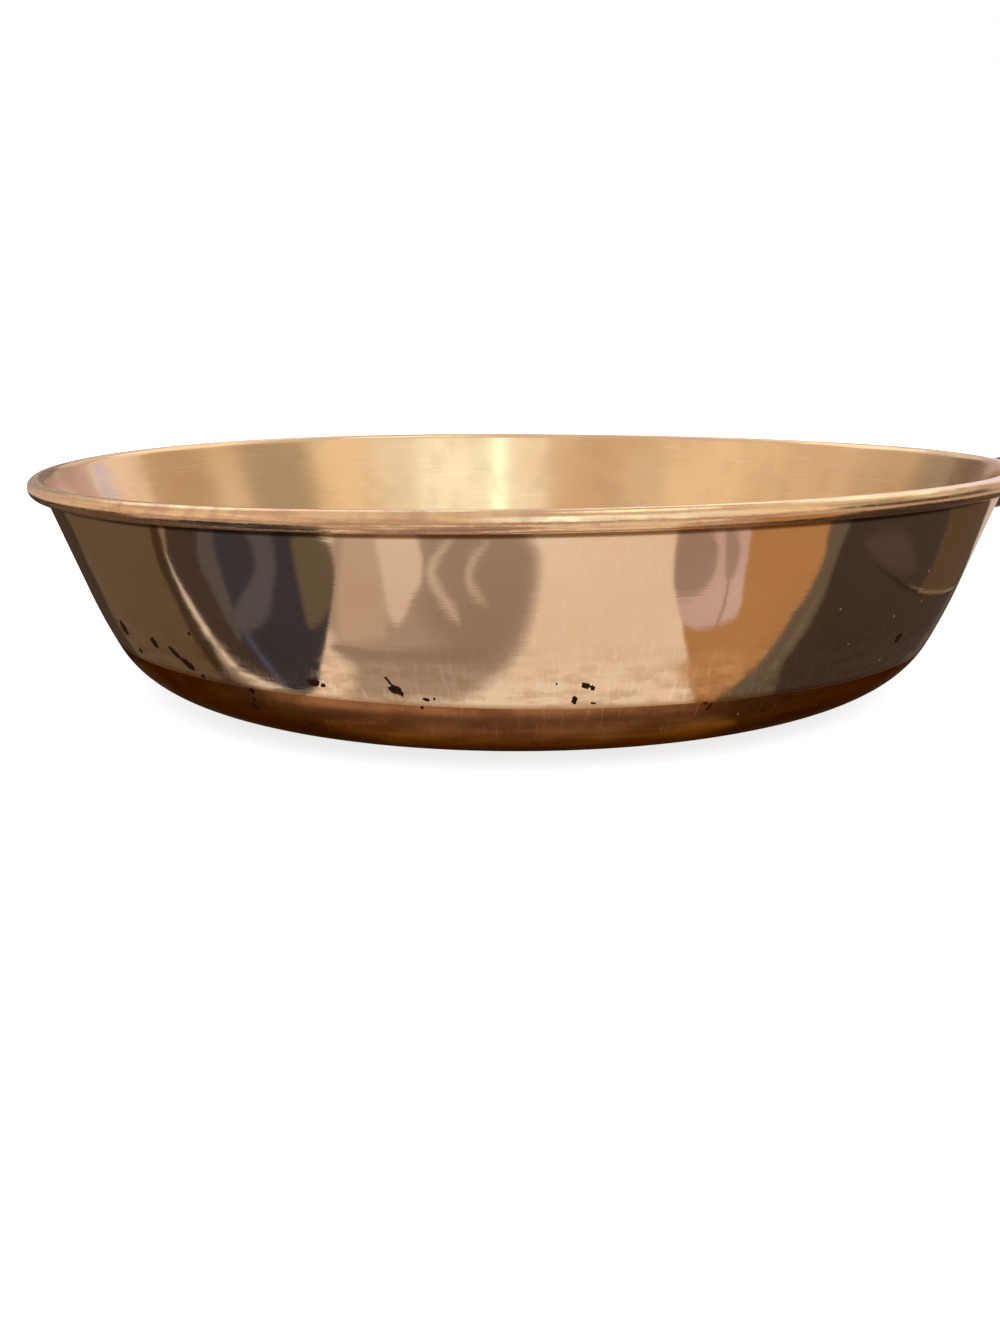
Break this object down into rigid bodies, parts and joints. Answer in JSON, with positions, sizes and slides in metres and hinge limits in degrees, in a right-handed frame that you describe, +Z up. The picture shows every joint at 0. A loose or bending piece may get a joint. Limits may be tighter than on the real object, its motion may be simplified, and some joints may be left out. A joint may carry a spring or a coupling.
{
  "type": "copper-bottom skillet",
  "caption": "Round skillet with a rolled lip, a flared polished steel wall, a copper skin under its base, a moulded two-part handle and a swinging ring to hang it by.",
  "frame": {"origin": "centre of the round base, on the surface that the pan stands on", "axes": "+X along the handle, away from the pan; +Z up; the pan is the same either side of the XZ plane"},
  "size_m": [0.4392, 0.26, 0.0734],
  "materials": {
    "polished_stainless": "polished stainless steel with fine round brush marks",
    "copper": "heat-stained copper skin",
    "pressed_steel": "pressed stainless steel",
    "black_phenolic": "moulded black phenolic",
    "zinc_plated_steel": "zinc-plated steel"
  },
  "bodies": {
    "skillet": {"pan_body": "polished_stainless", "copper_bottom": "copper", "handle_bracket": "pressed_steel", "flame_guard": "pressed_steel", "grip_upper": "black_phenolic", "grip_lower": "black_phenolic", "tang_screw_front": "zinc_plated_steel", "tang_screw_rear": "zinc_plated_steel", "tang_nut_front": "zinc_plated_steel", "tang_nut_rear": "zinc_plated_steel", "ring_pin": "zinc_plated_steel"},
    "ring": {"hanging_ring": "pressed_steel"}
  },
  "joints": [
    {"name": "ring_swing", "type": "hinge", "parent": "skillet", "child": "ring", "pos_m": [0.30333, 0, 0.06577], "axis": [0, -1, 0], "range_deg": [-5, 195]}
  ]
}
